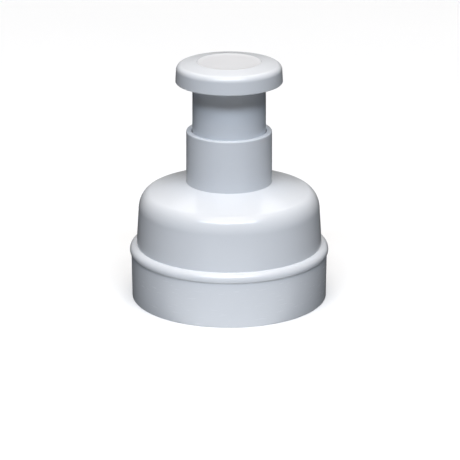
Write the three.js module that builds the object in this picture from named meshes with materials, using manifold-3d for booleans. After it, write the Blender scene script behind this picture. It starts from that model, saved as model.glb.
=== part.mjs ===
// Hand patty press: a bell-shaped head with a spring-return plunger stands on a loose mould ring.
// Millimetres, +Z up, origin at the centre of the circle that the mould ring stands on.
// Needs the npm packages three and manifold-3d.

import * as THREE from "three";
import { mergeVertices } from "three/addons/utils/BufferGeometryUtils.js";
import Module from "manifold-3d";

const wasm = await Module();
wasm.setup();

// ---- Driving dimensions ----

const FOOT_R = 57.05; // mould ring, outer radius at the foot
const RING_TOP_R = 57.3; // the same at the seam under the bead: moulding draft
const RING_WALL = 2.65;
const SEAM_Z = 27.1; // bottom of the bead
const STROKE = 27; // plunger travel

const BEAD_R = 58.15; // bead, outermost radius
const BEAD_MID_Z = 28.9; // height of that radius
const BEAD_TOP_Z = 32.3;
const BELL_FOOT_R = 54.2; // bell wall where it leaves the bead
const SHOULDER_Z = 52.8; // bell wall's upper end
const SHOULDER_R = 52.85;
const SHOULDER_DR = 7.95; // shoulder curve, radial and vertical half-axes
const SHOULDER_DZ = 11.4;
const NECK_FOOT_Z = 69.7;
const NECK_FOOT_R = 24.95;
const NECK_TOP_Z = 100.65;
const NECK_TOP_R = 24.8;
const SHELL = 2.4; // bell and neck wall thickness

const SLEEVE_FOOT_Z = 80;
const SLEEVE_FOOT_R = 21.3;
const SLEEVE_TOP_R = 21.15;
const SLEEVE_WALL = 2.1;

const KNOB_Z = 129.5; // knob's lower edge
const KNOB_FOOT_R = 30.9;
const KNOB_WALL_R = 30.5; // where the side meets the rounded edge
const KNOB_WALL_Z = 136.5;
const KNOB_EDGE_R = 3.6; // radius of the rounded edge
const KNOB_TOP_Z = 141.3; // upper end of the sloping crown
const CAP_R = 18.3; // disc let into the top of the knob
const CAP_DISH = 0.25; // depth of the flat in its top

const STEM_R = 6;
const BOLT_R = 2.95; // M6 draw bolt
const CARRIER_Z = 48.7; // underside of the spring carrier's disc
const CARRIER_THICKNESS = 3;
const CARRIER_R = 42;
const HUB_R = 10;
const HUB_BOTTOM_Z = 43.4;
const HUB_TOP_Z = 72;
const SCREW_CIRCLE_R = 36;
const SCREW_COUNT = 3;
const PLATE_R = 53.9;
const PLATE_Z = STROKE + 0.5; // underside of the press plate, plunger up
const PLATE_THICKNESS = 2.5;
const RIB_COUNT = 6;
const SPRING_MEAN_R = 15;
const WIRE_R = 0.9;
const ACTIVE_TURNS = 8;
const WASHER_R = 17.5; // washers at both ends of the spring

const GAP = 0.3; // between faces that rest on each other and can move
const SEAT = 0.1; // between faces that are clamped together
const ROUND = 48; // facets round a large part
const FINE = 24; // facets round a small part

// ---- Geometry helpers ----

// Solid of revolution about Z from [radius, height] pairs, anticlockwise with radius to the right.
function revolve(outline, facets = ROUND) {
  const onAxis = outline[0][0] === 0;
  const points = outline.map(([r, z]) => new THREE.Vector2(r, z));
  if (!onAxis) points.push(points[0].clone());
  return new THREE.LatheGeometry(points, facets).rotateX(Math.PI / 2);
}

// Points along part of an ellipse, in degrees anticlockwise from the outward direction.
function arc(r, z, dr, dz, fromDegrees, toDegrees, steps) {
  return Array.from({ length: steps + 1 }, (_, i) => {
    const a = THREE.MathUtils.degToRad(fromDegrees + ((toDegrees - fromDegrees) * i) / steps);
    return [r + dr * Math.cos(a), z + dz * Math.sin(a)];
  });
}

function tube(innerR, outerR, z0, z1, facets = FINE) {
  return revolve([[innerR, z0], [outerR, z0], [outerR, z1], [innerR, z1]], facets);
}

function rod(r, z0, z1, facets = FINE) {
  return revolve([[0, z0], [r, z0], [r, z1], [0, z1]], facets);
}

function solid(geometry) {
  const bare = geometry.index ? geometry.toNonIndexed() : geometry.clone();
  bare.deleteAttribute("normal");
  bare.deleteAttribute("uv");
  const merged = mergeVertices(bare, 1e-4);
  return new wasm.Manifold(
    new wasm.Mesh({
      numProp: 3,
      vertProperties: new Float32Array(merged.attributes.position.array),
      triVerts: new Uint32Array(merged.index.array),
    }),
  );
}

function toGeometry(manifold) {
  const { vertProperties, triVerts } = manifold.getMesh();
  return new THREE.BufferGeometry()
    .setAttribute("position", new THREE.BufferAttribute(vertProperties, 3))
    .setIndex(new THREE.BufferAttribute(triVerts, 1))
    .toNonIndexed();
}

function join(...geometries) {
  return toGeometry(geometries.map(solid).reduce((a, b) => a.add(b)));
}

function cut(geometry, ...tools) {
  return toGeometry(tools.map(solid).reduce((a, b) => a.subtract(b), solid(geometry)));
}

// Copies of a geometry made by make(), spread evenly round Z.
function aroundZ(count, make, startDegrees = 0) {
  return Array.from({ length: count }, (_, i) =>
    make().rotateZ(THREE.MathUtils.degToRad(startDegrees + (360 / count) * i)),
  );
}

// ---- Mould ring ----

function mouldRing() {
  const inner = FOOT_R - RING_WALL;
  const spigotR = 55.9; // stands up inside the bead
  const spigotTop = 30;
  return revolve([
    [inner + 0.6, 0],
    [FOOT_R - 0.5, 0],
    [FOOT_R, 0.5],
    [RING_TOP_R, SEAM_Z - GAP],
    [spigotR, SEAM_Z - GAP],
    [spigotR, spigotTop - 0.4],
    [spigotR - 0.4, spigotTop],
    [inner + 0.2, spigotTop],
    [inner, 0.6],
  ]);
}

// ---- Head: bell, spring carrier and what is fixed to them ----

const screwPlace = (geometry) => geometry.translate(SCREW_CIRCLE_R, 0, 0);
const screwsAt = (make) => aroundZ(SCREW_COUNT, () => screwPlace(make()), 90);
const CARRIER_TOP_Z = CARRIER_Z + CARRIER_THICKNESS;
const BOSS_Z = CARRIER_TOP_Z + SEAT;
const BOSS_R = 4;

function bellHousing() {
  const socketR = 56.2;
  const socketTop = 30.4;
  const outside = [
    [socketR, SEAM_Z],
    [BEAD_R - 0.5, SEAM_Z],
    [BEAD_R - 0.15, BEAD_MID_Z - 1.1],
    ...arc(BELL_FOOT_R, BEAD_MID_Z, BEAD_R - BELL_FOOT_R, BEAD_TOP_Z - BEAD_MID_Z, 0, 90, 5),
    ...arc(SHOULDER_R - SHOULDER_DR, SHOULDER_Z, SHOULDER_DR, SHOULDER_DZ, 0, 80, 7),
    [NECK_FOOT_R, NECK_FOOT_Z],
    [NECK_TOP_R, NECK_TOP_Z - 1],
    [NECK_TOP_R - 0.3, NECK_TOP_Z - 0.3],
    [NECK_TOP_R - 1, NECK_TOP_Z],
  ];
  const bore = NECK_TOP_R - SHELL;
  const inside = [
    [bore + 0.4, NECK_TOP_Z],
    [bore, NECK_TOP_Z - 0.4],
    [bore, NECK_FOOT_Z - SHELL],
    ...arc(SHOULDER_R - SHOULDER_DR, SHOULDER_Z, SHOULDER_DR - SHELL, SHOULDER_DZ - SHELL, 80, 0, 5),
    [BELL_FOOT_R - SHELL, socketTop],
    [socketR, socketTop],
  ];
  const bosses = screwsAt(() => rod(BOSS_R, BOSS_Z, NECK_FOOT_Z - 4.4));
  const pilots = screwsAt(() => rod(1.7, BOSS_Z - 1, BOSS_Z + 10));
  return cut(join(revolve([...outside, ...inside]), ...bosses), ...pilots);
}

function springCarrier() {
  const disc = rod(CARRIER_R, CARRIER_Z, CARRIER_TOP_Z, ROUND);
  const hub = rod(HUB_R, HUB_BOTTOM_Z, HUB_TOP_Z, FINE);
  const bore = rod(STEM_R + 1, HUB_BOTTOM_Z - 1, HUB_TOP_Z + 1);
  const bushSeats = [
    rod(7.6, HUB_BOTTOM_Z - 1, HUB_BOTTOM_Z + 7),
    rod(7.6, HUB_TOP_Z - 7, HUB_TOP_Z + 1),
  ];
  const screwHoles = screwsAt(() => rod(2.2, CARRIER_Z - 1, BOSS_Z));
  const drain = () => rod(4.5, CARRIER_Z - 1, BOSS_Z).translate(27, 0, 0);
  return cut(join(disc, hub), bore, ...bushSeats, ...screwHoles, ...aroundZ(SCREW_COUNT, drain, 30));
}

function carrierScrew() {
  const headTop = CARRIER_Z - SEAT;
  return join(rod(1.5, headTop - 0.5, BOSS_Z + 9), revolve([
    [0, headTop - 2.4],
    [2.4, headTop - 2.4],
    [3.4, headTop - 1.2],
    [3.4, headTop],
    [0, headTop],
  ], FINE));
}

// Flanged bush, flange outward. direction is 1 for the upper one and -1 for the lower one.
function guideBush(faceZ, direction) {
  const flange = [SEAT, 1.2].map((h) => faceZ + direction * h);
  const body = faceZ - direction * 6;
  const bore = STEM_R + 0.15;
  const outline = [
    [bore, body],
    [7.5, body],
    [7.5, flange[0]],
    [9.3, flange[0]],
    [9.3, flange[1]],
    [bore, flange[1]],
  ];
  return revolve(direction > 0 ? outline : outline.reverse(), FINE);
}

const SPRING_SEAT_Z = CARRIER_TOP_Z + SEAT; // underside of the washer below the spring
const SPRING_FOOT_Z = SPRING_SEAT_Z + 1 + SEAT;
const SPRING_TOP_Z = 128.5;

// Wire swept along a helix with one closed turn at each end.
class SpringCurve extends THREE.Curve {
  getPoint(t, target = new THREE.Vector3()) {
    const turns = ACTIVE_TURNS + 2;
    const closed = 2 * WIRE_R + 0.1; // height of an end turn
    const low = SPRING_FOOT_Z + WIRE_R;
    const high = SPRING_TOP_Z - WIRE_R;
    const turn = t * turns;
    const share = THREE.MathUtils.clamp((turn - 1) / ACTIVE_TURNS, 0, 1);
    const ends = Math.min(turn, 1) + Math.max(turn - 1 - ACTIVE_TURNS, 0);
    const z = low + ends * closed + share * (high - low - 2 * closed);
    const angle = turn * 2 * Math.PI;
    return target.set(SPRING_MEAN_R * Math.cos(angle), SPRING_MEAN_R * Math.sin(angle), z);
  }
}

function returnSpring() {
  const sides = 6;
  const section = new THREE.Shape(
    Array.from({ length: sides }, (_, i) => {
      const a = (i * 2 * Math.PI) / sides;
      return new THREE.Vector2(WIRE_R * Math.cos(a), WIRE_R * Math.sin(a));
    }),
  );
  const steps = 14 * (ACTIVE_TURNS + 2);
  return new THREE.ExtrudeGeometry(section, { steps, extrudePath: new SpringCurve() });
}

// ---- Plunger ----

const SLEEVE_TOP_Z = KNOB_Z + 2.5;
const STEM_TOP_Z = SLEEVE_TOP_Z - 2.4;
const STEM_FOOT_Z = 38;

function plungerSleeve() {
  const bore = SLEEVE_TOP_R - SLEEVE_WALL;
  return revolve([
    [bore + 0.5, SLEEVE_FOOT_Z],
    [SLEEVE_FOOT_R - 0.5, SLEEVE_FOOT_Z],
    [SLEEVE_FOOT_R, SLEEVE_FOOT_Z + 0.5],
    [SLEEVE_TOP_R, SLEEVE_TOP_Z],
    [BOLT_R + 0.3, SLEEVE_TOP_Z],
    [BOLT_R + 0.3, STEM_TOP_Z + SEAT],
    [bore, STEM_TOP_Z + SEAT],
    [bore, SLEEVE_FOOT_Z + 0.5],
  ]);
}

const KNOB_FLOOR_Z = SLEEVE_TOP_Z + SEAT;
const POCKET_Z = KNOB_FLOOR_Z + 2;
const CAP_SEAT_Z = 138.9;

function knob() {
  const skirt = 2.4; // side wall
  const hubR = 24; // wall round the sleeve's top
  const shell = revolve([
    [KNOB_FOOT_R - skirt, KNOB_Z],
    [KNOB_FOOT_R - 0.3, KNOB_Z],
    [KNOB_FOOT_R, KNOB_Z + 0.3],
    ...arc(KNOB_WALL_R - KNOB_EDGE_R, KNOB_WALL_Z, KNOB_EDGE_R, KNOB_EDGE_R, 0, 82, 4),
    [CAP_R + 0.3, KNOB_TOP_Z],
    [CAP_R + 0.3, CAP_SEAT_Z],
    [9, CAP_SEAT_Z],
    [9, POCKET_Z],
    [BOLT_R + 0.3, POCKET_Z],
    [BOLT_R + 0.3, KNOB_FLOOR_Z],
    [SLEEVE_TOP_R + 0.2, KNOB_FLOOR_Z],
    [SLEEVE_TOP_R + 0.2, KNOB_Z],
    [hubR, KNOB_Z],
    [hubR, KNOB_WALL_Z],
    [KNOB_WALL_R - skirt, KNOB_WALL_Z],
  ]);
  const rib = () => new THREE.BoxGeometry(6, 1.4, 6.2).translate(26.2, 0, KNOB_Z + 4.6);
  return join(shell, ...aroundZ(RIB_COUNT, rib));
}

function knobCap() {
  return revolve([
    [0, CAP_SEAT_Z + SEAT],
    [CAP_R, CAP_SEAT_Z + SEAT],
    [CAP_R, KNOB_TOP_Z - 0.15],
    [CAP_R - 0.4, KNOB_TOP_Z],
    [CAP_R - 1.6, KNOB_TOP_Z - CAP_DISH],
    [0, KNOB_TOP_Z - CAP_DISH],
  ]);
}

function plungerStem() {
  return tube(BOLT_R + 0.3, STEM_R, STEM_FOOT_Z, STEM_TOP_Z);
}

function boltWasher() {
  return tube(BOLT_R + 0.2, 7.5, POCKET_Z + SEAT, POCKET_Z + 1.1);
}

function drawBolt() {
  const headZ = POCKET_Z + 1.2;
  const head = revolve([
    [0, headZ],
    [5.25, headZ],
    [5.1, headZ + 1.3],
    [4, headZ + 2.4],
    [2.6, headZ + 2.8],
    [0, headZ + 2.8],
  ], FINE);
  const drive = new THREE.CylinderGeometry(2.2, 2.2, 4, 6).rotateX(Math.PI / 2);
  const shank = rod(BOLT_R, PLATE_Z + 2.8, headZ + 1);
  return cut(join(head, shank), drive.translate(0, 0, headZ + 3.2));
}

function stopWasher() {
  return tube(STEM_R + 0.1, 9.3, PLATE_BOSS_TOP + SEAT, PLATE_BOSS_TOP + 1.9);
}

const PLATE_BOSS_TOP = 40;
const INSERT_R = 4.3;
const INSERT_Z = PLATE_Z + 2.2;

function pressPlate() {
  const top = PLATE_Z + PLATE_THICKNESS;
  const bossR = 11;
  const disc = revolve([
    [0, PLATE_Z],
    [PLATE_R - 1, PLATE_Z],
    [PLATE_R, PLATE_Z + 0.8],
    [PLATE_R, top],
    [0, top],
  ]);
  const boss = rod(bossR, top - 1, PLATE_BOSS_TOP, FINE);
  const ribOutline = new THREE.Shape([
    new THREE.Vector2(5, top - 1),
    new THREE.Vector2(49, top - 1),
    new THREE.Vector2(49, top + 1),
    new THREE.Vector2(18, top + 4.5),
    new THREE.Vector2(5, top + 8),
  ]);
  const rib = () =>
    new THREE.ExtrudeGeometry(ribOutline, { depth: 2, bevelEnabled: false })
      .translate(0, 0, -1)
      .rotateX(Math.PI / 2);
  const stemSocket = rod(STEM_R + 0.1, STEM_FOOT_Z - SEAT, PLATE_BOSS_TOP + 1);
  const insertHole = rod(INSERT_R + 0.1, INSERT_Z, STEM_FOOT_Z);
  return cut(join(disc, boss, ...aroundZ(RIB_COUNT, rib)), stemSocket, insertHole);
}

function plateInsert() {
  return tube(BOLT_R + 0.1, INSERT_R, INSERT_Z + SEAT, INSERT_Z + 8, FINE);
}

// ---- Materials ----

function material(color, roughness, metalness = 0) {
  return new THREE.MeshStandardMaterial({ color, roughness, metalness });
}

const whitePlastic = material(0xe9ebf0, 0.28);
const innerPlastic = material(0xdfe2e6, 0.45);
const acetal = material(0xd9d4c4, 0.4);
const springSteel = material(0x9a9da1, 0.3, 1);
const stainless = material(0xb9bbbe, 0.25, 1);
const brass = material(0xb8954a, 0.35, 1);
const rubber = material(0x33363a, 0.8);

// ---- Assembly ----

function piece(name, geometry, look) {
  const mesh = new THREE.Mesh(geometry, look);
  mesh.name = name;
  return mesh;
}

function head() {
  const group = new THREE.Group();
  group.add(
    piece("bell_housing", bellHousing(), whitePlastic),
    piece("spring_carrier", springCarrier(), innerPlastic),
    piece("upper_guide_bush", guideBush(HUB_TOP_Z, 1), acetal),
    piece("lower_guide_bush", guideBush(HUB_BOTTOM_Z, -1), acetal),
    piece("lower_spring_washer", tube(HUB_R + 0.4, WASHER_R, SPRING_SEAT_Z, SPRING_SEAT_Z + 1), stainless),
    piece("return_spring", returnSpring(), springSteel),
  );
  screwsAt(carrierScrew).forEach((geometry, i) => {
    group.add(piece(`carrier_screw_${i + 1}`, geometry, stainless));
  });
  return group;
}

function plunger() {
  const group = new THREE.Group();
  group.add(
    piece("thrust_washer", tube(STEM_R + 0.2, WASHER_R, SPRING_TOP_Z + SEAT, STEM_TOP_Z - SEAT), acetal),
    piece("plunger_sleeve", plungerSleeve(), whitePlastic),
    piece("knob", knob(), whitePlastic),
    piece("knob_cap", knobCap(), whitePlastic),
    piece("draw_bolt", drawBolt(), stainless),
    piece("bolt_washer", boltWasher(), stainless),
    piece("plunger_stem", plungerStem(), stainless),
    piece("stop_washer", stopWasher(), rubber),
    piece("press_plate", pressPlate(), innerPlastic),
    piece("plate_insert", plateInsert(), brass),
  );
  return group;
}

const press = new THREE.Group();
press.add(piece("mould_ring", mouldRing(), whitePlastic), head(), plunger());

export default press;
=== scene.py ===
"""Looks of a hand patty press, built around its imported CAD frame.

Blender 4.5, metres, +Z up. Outlines are in millimetres, as (radius, height) pairs.
"""

import math

import bpy
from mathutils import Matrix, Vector


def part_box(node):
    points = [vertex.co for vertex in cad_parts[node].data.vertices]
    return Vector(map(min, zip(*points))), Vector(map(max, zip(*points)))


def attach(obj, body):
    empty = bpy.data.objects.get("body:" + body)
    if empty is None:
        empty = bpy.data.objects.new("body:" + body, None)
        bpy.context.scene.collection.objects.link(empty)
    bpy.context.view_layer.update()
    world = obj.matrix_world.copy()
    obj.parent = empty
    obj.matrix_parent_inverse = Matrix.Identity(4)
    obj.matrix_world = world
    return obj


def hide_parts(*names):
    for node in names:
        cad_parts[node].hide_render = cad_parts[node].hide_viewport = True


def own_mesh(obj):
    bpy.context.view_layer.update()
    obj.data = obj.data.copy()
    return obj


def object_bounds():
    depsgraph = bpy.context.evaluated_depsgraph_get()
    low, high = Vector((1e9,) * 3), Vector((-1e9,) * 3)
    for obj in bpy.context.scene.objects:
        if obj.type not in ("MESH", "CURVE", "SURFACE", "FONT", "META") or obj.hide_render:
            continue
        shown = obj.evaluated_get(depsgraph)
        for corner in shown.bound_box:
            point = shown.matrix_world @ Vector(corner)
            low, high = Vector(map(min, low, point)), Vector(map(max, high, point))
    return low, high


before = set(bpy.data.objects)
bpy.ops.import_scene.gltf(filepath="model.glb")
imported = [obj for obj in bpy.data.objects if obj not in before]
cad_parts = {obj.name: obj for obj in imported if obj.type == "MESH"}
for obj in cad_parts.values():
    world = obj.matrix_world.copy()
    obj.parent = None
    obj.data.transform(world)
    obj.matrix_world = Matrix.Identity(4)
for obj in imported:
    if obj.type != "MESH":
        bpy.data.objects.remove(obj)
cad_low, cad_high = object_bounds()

MM = 0.001
TAU = 2 * math.pi
ROUND = 240  # facets round a large piece
FINE = 96  # facets round a small piece
PLAIN = 48  # facets round a boss, a rod or a hole
FILLET_STEPS = 6
ON_AXIS = 0.000001  # a point nearer the axis than this, in millimetres, is a single vertex
SHARP_ANGLE = math.radians(35)
MIX_SHARE, MIX_FIRST, MIX_SECOND, MIX_RESULT = 0, 6, 7, 2  # colour sockets of a Mix node


# ---- Sizes from the frame, in millimetres ----


def radius(node):
    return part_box(node)[1].x / MM


def bottom(node):
    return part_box(node)[0].z / MM


def top(node):
    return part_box(node)[1].z / MM


# ---- Outlines ----


def arc(r, z, dr, dz, start, stop, steps=12):
    """Points on an ellipse with half-axes dr and dz; angles in degrees from the outward direction."""
    angles = [math.radians(start + (stop - start) * i / steps) for i in range(steps + 1)]
    return [(r + dr * math.cos(a), z + dz * math.sin(a)) for a in angles]


def curve(start, control, end, steps=10):
    """Points on a quadratic curve."""
    a, b, c = Vector(start), Vector(control), Vector(end)
    return [tuple(a.lerp(b, t).lerp(b.lerp(c, t), t)) for t in (i / steps for i in range(steps + 1))]


def rounded(corners, closed=True):
    """The outline with its corners filleted. A corner is (radius, height) or (radius, height, fillet)."""
    points = []
    for i, corner in enumerate(corners):
        here = Vector(corner[:2])
        at_end = not closed and i in (0, len(corners) - 1)
        if len(corner) == 2 or at_end:
            points.append(here)
            continue
        fillet = corner[2]
        back = (Vector(corners[i - 1][:2]) - here).normalized()
        ahead = (Vector(corners[(i + 1) % len(corners)][:2]) - here).normalized()
        half = back.angle(ahead) / 2
        centre = here + (back + ahead).normalized() * fillet / math.sin(half)
        first = here + back * fillet / math.tan(half) - centre
        last = here + ahead * fillet / math.tan(half) - centre
        for step in range(FILLET_STEPS + 1):
            points.append(centre + first.slerp(last, step / FILLET_STEPS).normalized() * fillet)
    return points


def supported(points, closed, long=2.0, near=0.12):
    """The outline with a point near each end of its long straight stretches, to shade them flat."""
    result = []
    for i, here in enumerate(points):
        result.append(here)
        if i == len(points) - 1 and not closed:
            break
        there = points[(i + 1) % len(points)]
        length = (there - here).length
        if length > long:
            result += [here.lerp(there, near / length), there.lerp(here, near / length)]
    return result


# ---- Meshes ----


def new_piece(name, vertices, faces):
    mesh = bpy.data.meshes.new(name)
    mesh.from_pydata([Vector(v) * MM for v in vertices], [], faces)
    mesh.validate()
    mesh.shade_smooth()
    mesh.set_sharp_from_angle(angle=SHARP_ANGLE)
    piece = bpy.data.objects.new(name, mesh)
    bpy.context.scene.collection.objects.link(piece)
    return piece


def revolve(name, outline, closed=True, facets=ROUND, shape=None):
    """Solid of revolution about Z. The outline runs anticlockwise with radius to the right, and one that
    isn't closed starts and ends on the axis. shape(r, z, angle) gives the radius where it isn't round."""
    outline = supported([Vector(p[:2]) for p in outline], closed)
    vertices, rings = [], []
    for r, z in outline:
        if r < ON_AXIS:
            rings.append([len(vertices)] * facets)
            vertices.append((0, 0, z))
            continue
        rings.append(list(range(len(vertices), len(vertices) + facets)))
        for k in range(facets):
            angle = TAU * k / facets
            here = shape(r, z, angle) if shape else r
            vertices.append((here * math.cos(angle), here * math.sin(angle), z))
    faces = []
    for i in range(len(rings) if closed else len(rings) - 1):
        low, high = rings[i], rings[(i + 1) % len(rings)]
        for k in range(facets):
            face = [low[k], low[(k + 1) % facets], high[(k + 1) % facets], high[k]]
            faces.append(list(dict.fromkeys(face)))
    return new_piece(name, vertices, faces)


def prism(name, outline, width, angle):
    """Flat plate of an outline in (radius, height), as wide as width, turned to an angle about Z."""
    across = Vector((-math.sin(angle), math.cos(angle), 0)) * width / 2
    out = Vector((math.cos(angle), math.sin(angle), 0))
    sides = [[out * r + Vector((0, 0, z)) + across * side for r, z in outline] for side in (-1, 1)]
    count = len(outline)
    faces = [list(range(count)), list(range(2 * count - 1, count - 1, -1))]
    for i in range(count):
        j = (i + 1) % count
        faces.append([j, i, i + count, j + count])
    return new_piece(name, sides[0] + sides[1], faces)


def combine(piece, tools, operation):
    """Joins the tools to the piece, or cuts them out of it, and removes them."""
    for tool in tools:
        modifier = piece.modifiers.new(tool.name, "BOOLEAN")
        modifier.operation = operation
        modifier.object = tool
    result = piece.evaluated_get(bpy.context.evaluated_depsgraph_get())
    piece.data = bpy.data.meshes.new_from_object(result)
    piece.modifiers.clear()
    for tool in tools:
        bpy.data.objects.remove(tool)
    return piece


def shifted(piece, distance, angle):
    """The piece moved out from the axis, in its mesh."""
    for vertex in piece.data.vertices:
        vertex.co += Vector((math.cos(angle), math.sin(angle), 0)) * distance * MM
    return piece


def rod(name, r, z0, z1):
    return revolve(name, [(0, z0), (r, z0), (r, z1), (0, z1)], closed=False, facets=PLAIN)


# ---- Materials ----


class Finish:
    """A material under construction: its nodes, and the pattern coordinates in metres."""

    def __init__(self, name):
        self.material = bpy.data.materials.new(name)
        self.material.use_nodes = True
        self.tree = self.material.node_tree
        self.shader = self.tree.nodes["Principled BSDF"]
        self.place = self.tree.nodes.new("ShaderNodeTexCoord").outputs["Object"]
        self.normal = None

    def node(self, kind, settings=None, **inputs):
        made = self.tree.nodes.new(kind)
        for key, value in (settings or {}).items():
            setattr(made, key, value)
        for key, value in inputs.items():
            self.feed(made.inputs[key.replace("_", " ")], value)
        return made

    def feed(self, socket, value):
        if isinstance(value, bpy.types.NodeSocket):
            self.tree.links.new(value, socket)
        else:
            socket.default_value = value

    def noise(self, scale, detail=2.0, stretch=None):
        place = self.place
        if stretch:
            place = self.node("ShaderNodeMapping", Vector=place, Scale=stretch).outputs["Vector"]
        return self.node("ShaderNodeTexNoise", Vector=place, Scale=scale, Detail=detail).outputs["Fac"]

    def spread(self, value, low, high, start=0.35, stop=0.65):
        """Maps a pattern's start to stop onto low to high."""
        ends = {"From_Min": start, "From_Max": stop, "To_Min": low, "To_Max": high}
        return self.node("ShaderNodeMapRange", Value=value, **ends).outputs["Result"]

    def blend(self, share, first, second):
        """The first colour, and as much of the second as share says."""
        made = self.node("ShaderNodeMix", {"data_type": "RGBA"})
        self.feed(made.inputs[MIX_SHARE], share)
        for index, color in ((MIX_FIRST, first), (MIX_SECOND, second)):
            self.feed(made.inputs[index], color if isinstance(color, bpy.types.NodeSocket) else (*color, 1))
        return made.outputs[MIX_RESULT]

    def bump(self, height, depth):
        """Adds relief, depth metres deep, over what is there."""
        inputs = {"Height": height, "Distance": depth, "Strength": 1.0}
        made = self.node("ShaderNodeBump", **inputs)
        if self.normal:
            self.feed(made.inputs["Normal"], self.normal)
        self.normal = made.outputs["Normal"]

    def rings(self, pitch):
        """Turning marks: a fine wave over the distance from the axis and along it."""
        spot = self.node("ShaderNodeSeparateXYZ", Vector=self.place)
        flat = self.node("ShaderNodeCombineXYZ", X=spot.outputs["X"], Y=spot.outputs["Y"])
        away = self.node("ShaderNodeVectorMath", {"operation": "LENGTH"})
        self.feed(away.inputs[0], flat.outputs["Vector"])
        along = self.node("ShaderNodeMath", {"operation": "ADD"})
        self.feed(along.inputs[0], away.outputs["Value"])
        self.feed(along.inputs[1], spot.outputs["Z"])
        turn = self.node("ShaderNodeMath", {"operation": "MULTIPLY"})
        self.feed(turn.inputs[0], along.outputs["Value"])
        self.feed(turn.inputs[1], TAU / pitch)
        wave = self.node("ShaderNodeMath", {"operation": "SINE"})
        self.feed(wave.inputs[0], turn.outputs["Value"])
        return self.spread(wave.outputs["Value"], 0, 1, -1, 1)

    def done(self, color, roughness, **uniform):
        self.feed(self.shader.inputs["Base Color"], color)
        self.feed(self.shader.inputs["Roughness"], roughness)
        if self.normal:
            self.feed(self.shader.inputs["Normal"], self.normal)
        for key, value in uniform.items():
            self.shader.inputs[key.replace("_", " ")].default_value = value
        return self.material


SPECK_GREY = (0.55, 0.55, 0.54)


def moulded_white(name, color, shine, grain=0.000004):
    """Gloss white plastic: cloudy by a trace, with a faint orange peel, flow marks and hairline scuffs."""
    finish = Finish(name)
    waviness, scuff_depth, scuff_dulling = 0.00003, 0.000002, 0.09
    darker = [c * 0.965 for c in color]
    patches = finish.spread(finish.noise(26, detail=4), 0, 1, start=0.3, stop=0.7)
    cloud = finish.blend(patches, color, darker)
    fleck = finish.spread(finish.noise(2600, detail=1), 0, 0.5, start=0.74, stop=0.8)
    tint = finish.blend(fleck, cloud, SPECK_GREY)
    scuffs = finish.noise(120, detail=6, stretch=(1, 1, 9))
    finish.bump(finish.noise(20, detail=1), waviness)
    finish.bump(finish.noise(700, detail=2), grain)
    finish.bump(finish.spread(scuffs, 0, 1, start=0.6, stop=0.7), scuff_depth)
    roughness = finish.spread(scuffs, shine, shine + scuff_dulling, start=0.35, stop=0.72)
    return finish.done(tint, roughness, IOR=1.5)


def satin_plastic(name, color, roughness):
    """Moulded or turned plastic with a fine texture and faint rings."""
    finish = Finish(name)
    texture_depth, ring_pitch, ring_depth = 0.000012, 0.0004, 0.000003
    darker = [c * 0.93 for c in color]
    patches = finish.spread(finish.noise(40, detail=4), 0, 1, start=0.3, stop=0.7)
    cloud = finish.blend(patches, color, darker)
    finish.bump(finish.noise(1800, detail=2), texture_depth)
    finish.bump(finish.rings(ring_pitch), ring_depth)
    wear = finish.noise(300, detail=4)
    shine = finish.spread(wear, roughness - 0.06, roughness + 0.08, start=0.3, stop=0.7)
    return finish.done(cloud, shine, IOR=1.48)


def turned_metal(name, color, roughness, pitch):
    """Metal with turning or drawing marks, and uneven brightness."""
    finish = Finish(name)
    mark_depth, texture_depth = 0.000006, 0.000003
    darker = [c * 0.82 for c in color]
    marks = finish.rings(pitch)
    stain = finish.spread(finish.noise(90, detail=5), 0, 1, start=0.35, stop=0.75)
    tint = finish.blend(stain, color, darker)
    finish.bump(marks, mark_depth)
    finish.bump(finish.noise(1500, detail=3), texture_depth)
    wear = finish.noise(260, detail=4)
    shine = finish.spread(wear, roughness - 0.07, roughness + 0.12, start=0.3, stop=0.7)
    return finish.done(tint, shine, Metallic=1.0)


def black_rubber(name):
    """Matt black rubber with a grey bloom in patches."""
    finish = Finish(name)
    black, bloom_grey, texture_depth = (0.02, 0.02, 0.022), (0.07, 0.07, 0.072), 0.00002
    patches = finish.spread(finish.noise(150, detail=5), 0, 1, start=0.45, stop=0.7)
    bloom = finish.blend(patches, black, bloom_grey)
    finish.bump(finish.noise(2200, detail=3), texture_depth)
    shine = finish.spread(finish.noise(500, detail=3), 0.6, 0.85, start=0.3, stop=0.7)
    return finish.done(bloom, shine)


WHITE = (0.79, 0.82, 0.865)
CAP_WHITE = (0.785, 0.80, 0.83)
MATERIALS = {
    "ring_plastic": moulded_white("ring_plastic", WHITE, 0.2),
    "housing_plastic": moulded_white("housing_plastic", WHITE, 0.15),
    "plunger_plastic": moulded_white("plunger_plastic", WHITE, 0.17),
    "cap_plastic": moulded_white("cap_plastic", CAP_WHITE, 0.3, grain=0.00001),
    "inner_plastic": satin_plastic("inner_plastic", (0.76, 0.775, 0.79), 0.4),
    "bearing_plastic": satin_plastic("bearing_plastic", (0.75, 0.72, 0.64), 0.35),
    "spring_steel": turned_metal("spring_steel", (0.56, 0.57, 0.59), 0.28, 0.0015),
    "stainless": turned_metal("stainless", (0.68, 0.69, 0.70), 0.24, 0.0003),
    "brass": turned_metal("brass", (0.74, 0.56, 0.27), 0.3, 0.0004),
    "rubber": black_rubber("rubber"),
}


def install(piece, node, body, slot):
    """Gives a piece the material that slot names, puts it on its body, and hides the CAD node that it
    stands for.
    """
    piece.data.materials.clear()
    piece.data.materials.append(MATERIALS[slot])
    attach(piece, body)
    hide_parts(node)


# ---- Driving dimensions ----

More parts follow.
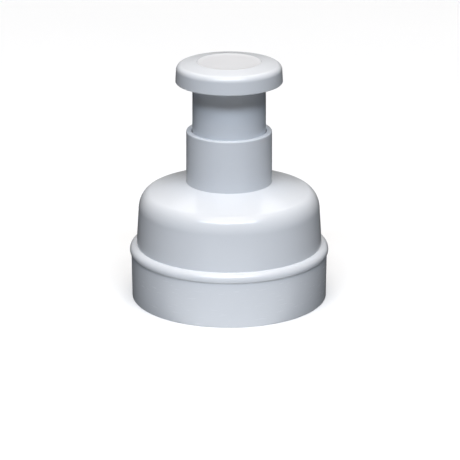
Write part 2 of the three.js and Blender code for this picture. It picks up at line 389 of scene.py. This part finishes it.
RING_R = radius("mould_ring")
FOOT_R = RING_R - 0.25  # draft
RING_WALL = 2.65
SEAM_Z = bottom("bell_housing")
SEAM_GAP = 0.08
BEAD_R = radius("bell_housing")
BEAD_DROP = 1.6  # from the bead's widest point to its foot
BEAD_MID_Z = SEAM_Z + BEAD_DROP
BEAD_TOP_Z = SEAM_Z + 5.2
BELL_FOOT_R = 54.2
SHOULDER_Z = SEAM_Z + 25.7
SHOULDER_R = 52.85
SHOULDER_DR, SHOULDER_DZ = 7.95, 11.4
NECK_FOOT_R, NECK_FOOT_Z = 24.95, SEAM_Z + 42.6
NECK_R = 24.8
NECK_TOP_Z = top("bell_housing")
LIP_R = 21.65  # guide lip inside the neck's rim
SHELL = 2.4
STEM_R = radius("plunger_stem")
BOLT_R = 2.95
CARRIER_DISC_TOP = bottom("lower_spring_washer") - 0.1
SCREW_ANGLES = [math.radians(90 + 120 * i) for i in range(3)]
SCREW_HEAD_R = 3.4
SCREW_CIRCLE_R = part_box("carrier_screw_1")[1].y / MM - SCREW_HEAD_R


# ---- Pieces ----


def ring_moulding():
    spigot_r, spigot_top = 55.9, top("mould_ring")
    inner = FOOT_R - RING_WALL
    return revolve("ring_moulding", rounded([
        (inner, 0, 0.7),
        (FOOT_R, 0, 0.6),
        (RING_R, SEAM_Z - SEAM_GAP, 0.08),
        (spigot_r, SEAM_Z - SEAM_GAP, 0.15),
        (spigot_r, spigot_top, 0.4),
        (inner + 0.2, spigot_top, 0.3),
    ]))


def bell_moulding():
    socket_r, socket_top = 56.2, SEAM_Z + 3.6
    bore = NECK_R - SHELL
    lip_z = NECK_TOP_Z - 2.5
    centre = SHOULDER_R - SHOULDER_DR
    curl = 0.5  # how far the bead's foot is drawn in
    bell = revolve("bell_moulding", rounded([
        (socket_r, SEAM_Z, 0.2),
        (BEAD_R - curl, SEAM_Z, 0.1),
        *arc(BEAD_R - curl, BEAD_MID_Z, curl, BEAD_DROP, -50, 0, 6),
        *arc(BELL_FOOT_R, BEAD_MID_Z, BEAD_R - BELL_FOOT_R, BEAD_TOP_Z - BEAD_MID_Z, 0, 84, 18)[1:],
        (BELL_FOOT_R, BEAD_TOP_Z, 0.25),
        *arc(centre, SHOULDER_Z, SHOULDER_DR, SHOULDER_DZ, 0, 80, 20),
        (NECK_FOOT_R, NECK_FOOT_Z, 0.25),
        (NECK_R, NECK_TOP_Z, 0.9),
        (LIP_R, NECK_TOP_Z, 0.5),
        (LIP_R, lip_z, 0.3),
        (bore, NECK_TOP_Z - 3.5, 0.3),
        (bore, NECK_FOOT_Z - SHELL, 0.8),
        *arc(centre, SHOULDER_Z, SHOULDER_DR - SHELL, SHOULDER_DZ - SHELL, 80, 0, 12),
        (BELL_FOOT_R - SHELL, socket_top, 0.4),
        (socket_r, socket_top, 0.3),
    ]))
    boss_r, boss_root_r, boss_z = 4, 4.3, CARRIER_DISC_TOP + 0.1
    pilot_r, pilot_depth = 1.7, 10
    roof_z = NECK_FOOT_Z - 4.4
    corners = [(0, boss_z), (boss_r, boss_z, 0.3), (boss_root_r, roof_z), (0, roof_z)]
    outline = rounded(corners, closed=False)
    bosses, pilots = [], []
    for i, angle in enumerate(SCREW_ANGLES):
        boss = revolve(f"boss_{i}", outline, closed=False, facets=PLAIN)
        bosses.append(shifted(boss, SCREW_CIRCLE_R, angle))
        pilot = rod(f"pilot_{i}", pilot_r, boss_z - 1, boss_z + pilot_depth)
        pilots.append(shifted(pilot, SCREW_CIRCLE_R, angle))
    combine(bell, bosses, "UNION")
    return combine(bell, pilots, "DIFFERENCE")


def carrier():
    disc_r, disc_z = radius("spring_carrier"), CARRIER_DISC_TOP - 3
    hub_low, hub_top = bottom("spring_carrier"), top("spring_carrier")
    hub_r, bore, seat, seat_depth = 10, STEM_R + 1, 7.6, 7
    step_r, step_z = disc_r - 3, disc_z + 0.6
    hole_r, drain_r, drain_circle_r = 2.2, 4.5, 27
    piece = revolve("carrier", rounded([
        (seat, hub_low, 0.2),
        (hub_r, hub_low, 0.4),
        (hub_r, disc_z, 0.8),
        (step_r, disc_z, 0.6),
        (step_r, step_z, 0.3),
        (disc_r, step_z, 0.5),
        (disc_r, CARRIER_DISC_TOP, 0.5),
        (hub_r, CARRIER_DISC_TOP, 0.3),
        (hub_r, hub_top, 0.5),
        (seat, hub_top, 0.2),
        (seat, hub_top - seat_depth),
        (bore, hub_top - seat_depth),
        (bore, hub_low + seat_depth),
        (seat, hub_low + seat_depth),
    ]))
    low, high = disc_z - 1, CARRIER_DISC_TOP + 1
    tools = []
    for i, angle in enumerate(SCREW_ANGLES):
        tools.append(shifted(rod(f"hole_{i}", hole_r, low, high), SCREW_CIRCLE_R, angle))
        drain = rod(f"drain_{i}", drain_r, low, high)
        tools.append(shifted(drain, drain_circle_r, angle + math.radians(60)))
    return combine(piece, tools, "DIFFERENCE")


def saw(turns):
    """0 to 1 and back to 0 over each whole turn."""
    return 1 - abs(2 * (turns % 1) - 1)


def threaded(r, z0, z1, pitch, steps=8):
    """Outline of a threaded stretch, with enough rings for the thread's shape."""
    count = round((z1 - z0) / pitch * steps)
    return [(r, z0 + (z1 - z0) * i / count) for i in range(count + 1)]


def carrier_screw(index, angle):
    """Pan-head screw with a star recess, its head below the carrier."""
    head_top, low = CARRIER_DISC_TOP - 3.1, bottom("carrier_screw_1")
    tip, shank, pitch = top("carrier_screw_1"), 1.5, 1.1
    recess = 1.3

    def shape(r, z, a):
        if z > head_top + 0.5 and r > 1:
            return r - 0.4 * (1 - saw(z / pitch - a / TAU))
        if z < head_top - 0.9 and r <= recess:
            return r * (1 + 0.2 * math.cos(6 * a))
        return r

    rim = [(SCREW_HEAD_R, head_top - 1, 0.8), (SCREW_HEAD_R, head_top, 0.2), (shank, head_top)]
    head = [(recess, low), (2.4, low, 0.7), *rim]
    outline = [
        (0, low + 1.4),
        (recess - 0.1, low + 1.4),
        *rounded(head, closed=False),
        *threaded(shank, head_top + 0.4, tip - 1, pitch),
        (0.5, tip),
        (0, tip),
    ]
    screw = revolve(f"carrier_screw_{index}_piece", outline, closed=False, facets=FINE, shape=shape)
    return shifted(screw, SCREW_CIRCLE_R, angle)


def bush(name, face_z, body_z):
    """Flanged bush whose flange ends at face_z and whose body ends at body_z."""
    out = math.copysign(1, face_z - body_z)
    flange_z, bore, body_r, flange_r = face_z - out * 1.1, STEM_R + 0.15, 7.5, 9.3
    corners = [
        (bore, body_z, 0.4),
        (body_r, body_z, 0.5),
        (body_r, flange_z),
        (flange_r, flange_z, 0.2),
        (flange_r, face_z, 0.4),
        (bore, face_z, 0.5),
    ]
    return revolve(name, rounded(corners if out > 0 else corners[::-1]), facets=FINE)


def washer(name, node, bore, edge=0.25):
    r, z0, z1 = radius(node), bottom(node), top(node)
    corners = [(bore, z0, edge), (r, z0, edge), (r, z1, edge), (bore, z1, edge)]
    return revolve(name, rounded(corners), facets=FINE)


def coil_spring():
    """Round wire on a helix, with a closed and ground turn at each end."""
    wire, active, sides, steps = 0.9, 8, 16, 64
    z0, z1 = bottom("return_spring"), top("return_spring")
    mean = radius("return_spring") - wire
    turns, closed = active + 2, 2 * wire + 0.05
    low, high = z0 + 0.45 * wire, z1 - 0.45 * wire
    vertices = []
    for i in range(turns * steps + 1):
        turn = i / steps
        share = min(max((turn - 1) / active, 0), 1)
        ends = min(turn, 1) + max(turn - 1 - active, 0)
        z = low + ends * closed + share * (high - low - 2 * closed)
        for k in range(sides):
            a = TAU * k / sides
            r = mean + wire * math.cos(a)
            height = min(max(z + wire * math.sin(a), z0), z1)
            vertices.append((r * math.cos(TAU * turn), r * math.sin(TAU * turn), height))
    faces = []
    for i in range(turns * steps):
        for k in range(sides):
            j = (k + 1) % sides
            faces.append([i * sides + j, i * sides + k, (i + 1) * sides + k, (i + 1) * sides + j])
    last = turns * steps * sides
    faces += [list(range(sides)), list(range(last + sides - 1, last - 1, -1))]
    return new_piece("coil_spring", vertices, faces)


def shaft():
    low, high = bottom("plunger_sleeve"), top("plunger_sleeve")
    foot, head, hole = radius("plunger_sleeve"), radius("plunger_sleeve") - 0.15, BOLT_R + 0.35
    bore, roof = head - 2.1, high - 2.3
    return revolve("shaft", rounded([
        (bore, low, 0.6),
        (foot, low, 0.7),
        (head, high, 0.4),
        (hole, high, 0.3),
        (hole, roof, 0.3),
        (bore, roof, 1.2),
    ]))


def stem_tube():
    low, high, bore = bottom("plunger_stem"), top("plunger_stem"), BOLT_R + 0.3
    corners = [(bore, low, 0.3), (STEM_R, low, 0.5), (STEM_R, high, 0.4), (bore, high, 0.3)]
    return revolve("stem_tube", rounded(corners), facets=FINE)


def knob_moulding():
    low, high, edge = bottom("knob"), top("knob"), 3.6
    foot, wall, wall_z = radius("knob"), radius("knob") - 0.4, low + 7
    skirt, hub, rib_count, rib_width = 2.4, 24, 6, 1.4
    cap, seat = radius("knob_cap") + 0.1, bottom("knob_cap") - 0.1
    socket, floor = radius("plunger_sleeve") + 0.05, top("plunger_sleeve") + 0.1
    pocket_r, pocket, hole = 9, bottom("bolt_washer") - 0.1, BOLT_R + 0.3
    edge_arc = arc(wall - edge, wall_z, edge, edge, 0, 82, 14)
    knob = revolve("knob_moulding", rounded([
        (foot - skirt, low, 0.4),
        (foot, low, 0.5),
        *edge_arc,
        (cap + 0.15, high, 0.1),
        (cap, high - 0.06),
        (cap, seat),
        (pocket_r, seat, 0.3),
        (pocket_r, pocket),
        (hole, pocket, 0.2),
        (hole, floor, 0.2),
        (socket, floor, 0.3),
        (socket, low, 0.3),
        (hub, low, 0.4),
        (hub, wall_z, 1.0),
        (wall - skirt, wall_z, 1.5),
    ]))
    rib_in, rib_out, rib_low, rib_high = hub - 0.6, foot - skirt + 0.6, low + 1.5, wall_z + 1
    outline = [(rib_in, rib_low), (rib_out, rib_low), (rib_out, rib_high), (rib_in, rib_high)]
    angles = [TAU * i / rib_count for i in range(rib_count)]
    ribs = [prism(f"knob_rib_{i}", outline, rib_width, angle) for i, angle in enumerate(angles)]
    return combine(knob, ribs, "UNION")


def knob_disc():
    """The disc in the knob's top, with a flat face just below its rim."""
    r, z0, z1, dish = radius("knob_cap"), bottom("knob_cap"), top("knob_cap"), 0.25
    return revolve("knob_disc", rounded([
        (0, z0),
        (r, z0, 0.2),
        (r, z1 - 0.05, 0.03),
        (r - 0.15, z1, 0.1),
        (r - 3, z1 - dish, 4),
        (0, z1 - dish),
    ], closed=False))


def long_bolt():
    """Button-head screw with a hexagon socket and a threaded end."""
    head_z, head_top, low = top("bolt_washer") + 0.1, top("draw_bolt"), bottom("draw_bolt")
    socket_r, socket_z, pitch, thread_top = 2.2, head_top - 1.8, 1, low + 14

    def shape(r, z, a):
        if low + 0.5 < z < thread_top and r > 2:
            return r - 0.55 * (1 - saw(z / pitch - a / TAU))
        if z > socket_z - 0.1 and r <= socket_r:  # six flats
            return r * 0.9 / math.cos((a % (TAU / 6)) - TAU / 12)
        return r

    neck = [(BOLT_R, thread_top), (BOLT_R, head_z, 0.3), (5.25, head_z, 0.2), (5.25, head_z + 0.5)]
    outline = [
        (0, low),
        (BOLT_R - 0.6, low),
        *threaded(BOLT_R, low + 0.6, thread_top, pitch),
        *rounded(neck, closed=False)[1:],
        *curve((5.2, head_z + 0.8), (4.8, head_top), (2.7, head_top)),
        (socket_r, head_top - 0.3),
        (socket_r, socket_z),
        (0, socket_z - 0.6),
    ]
    return revolve("long_bolt", outline, closed=False, facets=FINE, shape=shape)


def plate_moulding():
    """Ribbed plate with shallow rings in the face that presses the meat."""
    r, low = radius("press_plate"), bottom("press_plate")
    disc_top, boss_top, boss_r = low + 2.5, top("press_plate"), 11
    groove, depth, groove_pitch, grooved_r = 1.2, 0.35, 6, 54
    rib_count, rib_width = 6, 1.9
    face = [(0, low)]
    for at in range(groove_pitch, grooved_r, groove_pitch):
        offsets = ((-groove, 0), (-groove / 2, depth), (groove / 2, depth), (groove, 0))
        face += [(at + out, low + up) for out, up in offsets]
    stem_r, stem_z = STEM_R + 0.1, bottom("plunger_stem") - 0.1
    insert_r, insert_z = radius("plate_insert") + 0.05, bottom("plate_insert") - 0.1
    plate = revolve("plate_moulding", rounded([
        *face,
        (r, low, 0.8),
        (r, disc_top, 0.3),
        (boss_r, disc_top, 1.0),
        (boss_r - 0.3, boss_top, 0.5),
        (stem_r, boss_top, 0.3),
        (stem_r, stem_z),
        (insert_r, stem_z, 0.1),
        (insert_r, insert_z),
        (0, insert_z),
    ], closed=False))
    rib = [(9, -1), (49, -1), (49, 1), (18, 4.5), (9, 6.9)]
    outline = [(out, disc_top + up) for out, up in rib]
    angles = [TAU * i / rib_count for i in range(rib_count)]
    ribs = [prism(f"plate_rib_{i}", outline, rib_width, angle) for i, angle in enumerate(angles)]
    return combine(plate, ribs, "UNION")


def knurled_insert():
    """Threaded brass insert, diamond-knurled with a plain waist."""
    r, low, high = radius("plate_insert"), bottom("plate_insert"), top("plate_insert")
    bore, waist, waist_half = BOLT_R + 0.1, (low + high) / 2, 0.7
    diamonds, knurl_pitch, knurl_depth, waist_depth = 24, 1.2, 0.3, 0.35
    rows = 40

    def shape(here, z, a):
        if here < r - 0.2:
            return here
        if abs(z - waist) < waist_half:
            return here - waist_depth
        right = saw(diamonds * a / TAU + z / knurl_pitch)
        left = saw(diamonds * a / TAU - z / knurl_pitch)
        return here - knurl_depth * right * left

    wall = [(r, low + 0.3 + (high - low - 0.6) * i / rows) for i in range(rows + 1)]
    outline = [(bore, low), (r - 0.4, low), *wall, (r - 0.4, high), (bore, high)]
    return revolve("knurled_insert", outline, facets=8 * diamonds, shape=shape)


# ---- Assembly ----

install(ring_moulding(), "mould_ring", "mould", "ring_plastic")

install(bell_moulding(), "bell_housing", "head", "housing_plastic")
install(carrier(), "spring_carrier", "head", "inner_plastic")
for number, screw_angle in enumerate(SCREW_ANGLES, 1):
    install(carrier_screw(number, screw_angle), f"carrier_screw_{number}", "head", "stainless")
upper, lower = "upper_guide_bush", "lower_guide_bush"
install(bush("upper_bush", top(upper), bottom(upper)), upper, "head", "bearing_plastic")
install(bush("lower_bush", bottom(lower), top(lower)), lower, "head", "bearing_plastic")
install(washer("spring_washer", "lower_spring_washer", 10.4), "lower_spring_washer", "head", "stainless")
spring = coil_spring()
install(spring, "return_spring", "head", "spring_steel")
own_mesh(spring)

slip_washer = washer("slip_washer", "thrust_washer", STEM_R + 0.2)
install(slip_washer, "thrust_washer", "spring_top", "bearing_plastic")

install(shaft(), "plunger_sleeve", "plunger", "plunger_plastic")
install(knob_moulding(), "knob", "plunger", "plunger_plastic")
install(knob_disc(), "knob_cap", "plunger", "cap_plastic")
install(stem_tube(), "plunger_stem", "plunger", "stainless")
install(long_bolt(), "draw_bolt", "plunger", "stainless")
install(washer("head_washer", "bolt_washer", BOLT_R + 0.2), "bolt_washer", "plunger", "stainless")
install(washer("buffer", "stop_washer", STEM_R + 0.1, 0.4), "stop_washer", "plunger", "rubber")
install(plate_moulding(), "press_plate", "plunger", "inner_plastic")
install(knurled_insert(), "plate_insert", "plunger", "brass")


# ---- Stage ----

LIGHT_DISTANCE = 4.0
MIDDLE = Vector((0, 0, cad_high.z / 2))
UP, DOWN = Vector((0, 0, 1)), Vector((0, 0, -1))
COOL, WARM, NEUTRAL = (0.79, 0.88, 1.0), (1.0, 0.87, 0.72), (1.0, 1.0, 1.0)
CEILING_BACK, CEILING_RISE = 0.4, 4.1  # radiance at the back, and how much it rises to the front
DIM_BLUE, DIM_STRENGTH = (0.62, 0.72, 0.85), 0.03
BACKDROP = (0.93, 0.93, 0.935)

CAMERA_PLACE = (0.0005, -1.3849, 0.5128)
CAMERA_DROP = 18.87  # degrees below the horizon
FOCAL_LENGTH, SENSOR_WIDTH = 195.65, 36


def floor():
    """White table with a glow of its own, so that it stays pale. It throws no light on the object: the
    panels do all of that, and those below shine through it."""
    half = 30
    first_tone, second_tone, glow = (0.75, 0.77, 0.795), (0.74, 0.76, 0.785), 0.23
    corners = [(-half, -half, 0), (half, -half, 0), (half, half, 0), (-half, half, 0)]
    mesh = bpy.data.meshes.new("floor")
    mesh.from_pydata(corners, [], [(0, 1, 2, 3)])
    piece = bpy.data.objects.new("floor", mesh)
    bpy.context.scene.collection.objects.link(piece)
    paint = Finish("floor_paint")
    tone = paint.blend(paint.spread(paint.noise(3, detail=2), 0, 1), first_tone, second_tone)
    mesh.materials.append(paint.done(tone, 0.9, Specular_IOR_Level=0.0, Emission_Strength=glow))
    paint.shader.inputs["Emission Color"].default_value = (1, 1, 1, 1)
    for ray in ("diffuse", "glossy", "shadow"):
        setattr(piece, f"visible_{ray}", False)


def panel(name, place, facing, width, height, radiance, color):
    """Rectangular light, width by height metres, that shines the way it faces and isn't seen itself."""
    light = bpy.data.lights.new(name, "AREA")
    light.shape = "RECTANGLE"
    light.size, light.size_y = width, height
    light.energy = math.pi * width * height * radiance
    light.color = color
    lamp = bpy.data.objects.new(name, light)
    bpy.context.scene.collection.objects.link(lamp)
    lamp.location = place
    lamp.rotation_euler = facing.to_track_quat("-Z", "Y").to_euler()
    lamp.visible_camera = False


def softbox(name, azimuth, elevation, width, height, radiance, color):
    """Panel facing the object. Its place and size are in degrees, as the object sees them, and azimuth
    runs from the camera's side."""
    around, up = math.radians(azimuth), math.radians(elevation)
    toward = Vector((math.sin(around) * math.cos(up), -math.cos(around) * math.cos(up), math.sin(up)))
    across = math.radians(width) * math.cos(up) * LIGHT_DISTANCE
    along = math.radians(height) * LIGHT_DISTANCE
    panel(name, MIDDLE + toward * LIGHT_DISTANCE, -toward, across, along, radiance, color)


def lights():
    """A long key light high in front, a ceiling that fades to the back, and softer light from below and
    behind."""
    for azimuth in (-30, 0, 30):
        softbox("key", azimuth, 50, width=30, height=10, radiance=13.4, color=COOL)
    for azimuth in range(-150, 181, 30):
        facing = (1 + math.cos(math.radians(azimuth))) / 2
        radiance = CEILING_BACK + CEILING_RISE * facing**2
        softbox("ceiling", azimuth, 66, width=30, height=19, radiance=radiance, color=WARM)
    overhead = MIDDLE + Vector((0, 0, LIGHT_DISTANCE))
    panel("top", overhead, DOWN, width=1.5, height=1.5, radiance=3.6, color=WARM)
    softbox("bounce", 0, -60, width=60, height=40, radiance=0.85, color=NEUTRAL)
    table_front = Vector((0, -0.155, -0.005))
    panel("table_glow", table_front, UP, width=0.22, height=0.2, radiance=0.68, color=NEUTRAL)
    softbox("back", 180, 50, width=60, height=25, radiance=1.6, color=NEUTRAL)
    softbox("back_bounce", 180, -48, width=60, height=30, radiance=3.4, color=NEUTRAL)


def surroundings():
    """What shows beyond the floor: pale to the camera, dark to everything else."""
    world = bpy.data.worlds.new("studio")
    world.use_nodes = True
    nodes, links = world.node_tree.nodes, world.node_tree.links
    dark = nodes["Background"]
    dark.inputs["Color"].default_value = (*DIM_BLUE, 1)
    dark.inputs["Strength"].default_value = DIM_STRENGTH
    pale = nodes.new("ShaderNodeBackground")
    pale.inputs["Color"].default_value = (*BACKDROP, 1)
    pale.inputs["Strength"].default_value = 1.0
    ray, mix = nodes.new("ShaderNodeLightPath"), nodes.new("ShaderNodeMixShader")
    links.new(ray.outputs["Is Camera Ray"], mix.inputs["Fac"])
    links.new(dark.outputs["Background"], mix.inputs[1])
    links.new(pale.outputs["Background"], mix.inputs[2])
    links.new(mix.outputs["Shader"], nodes["World Output"].inputs["Surface"])
    bpy.context.scene.world = world


def camera():
    lens = bpy.data.cameras.new("camera")
    lens.sensor_width = SENSOR_WIDTH
    lens.lens = FOCAL_LENGTH
    eye = bpy.data.objects.new("camera", lens)
    bpy.context.scene.collection.objects.link(eye)
    eye.location = CAMERA_PLACE
    eye.rotation_euler = (math.radians(90 - CAMERA_DROP), 0, 0)
    bpy.context.scene.camera = eye


floor()
lights()
surroundings()
camera()
bpy.context.scene.view_settings.view_transform = "Standard"
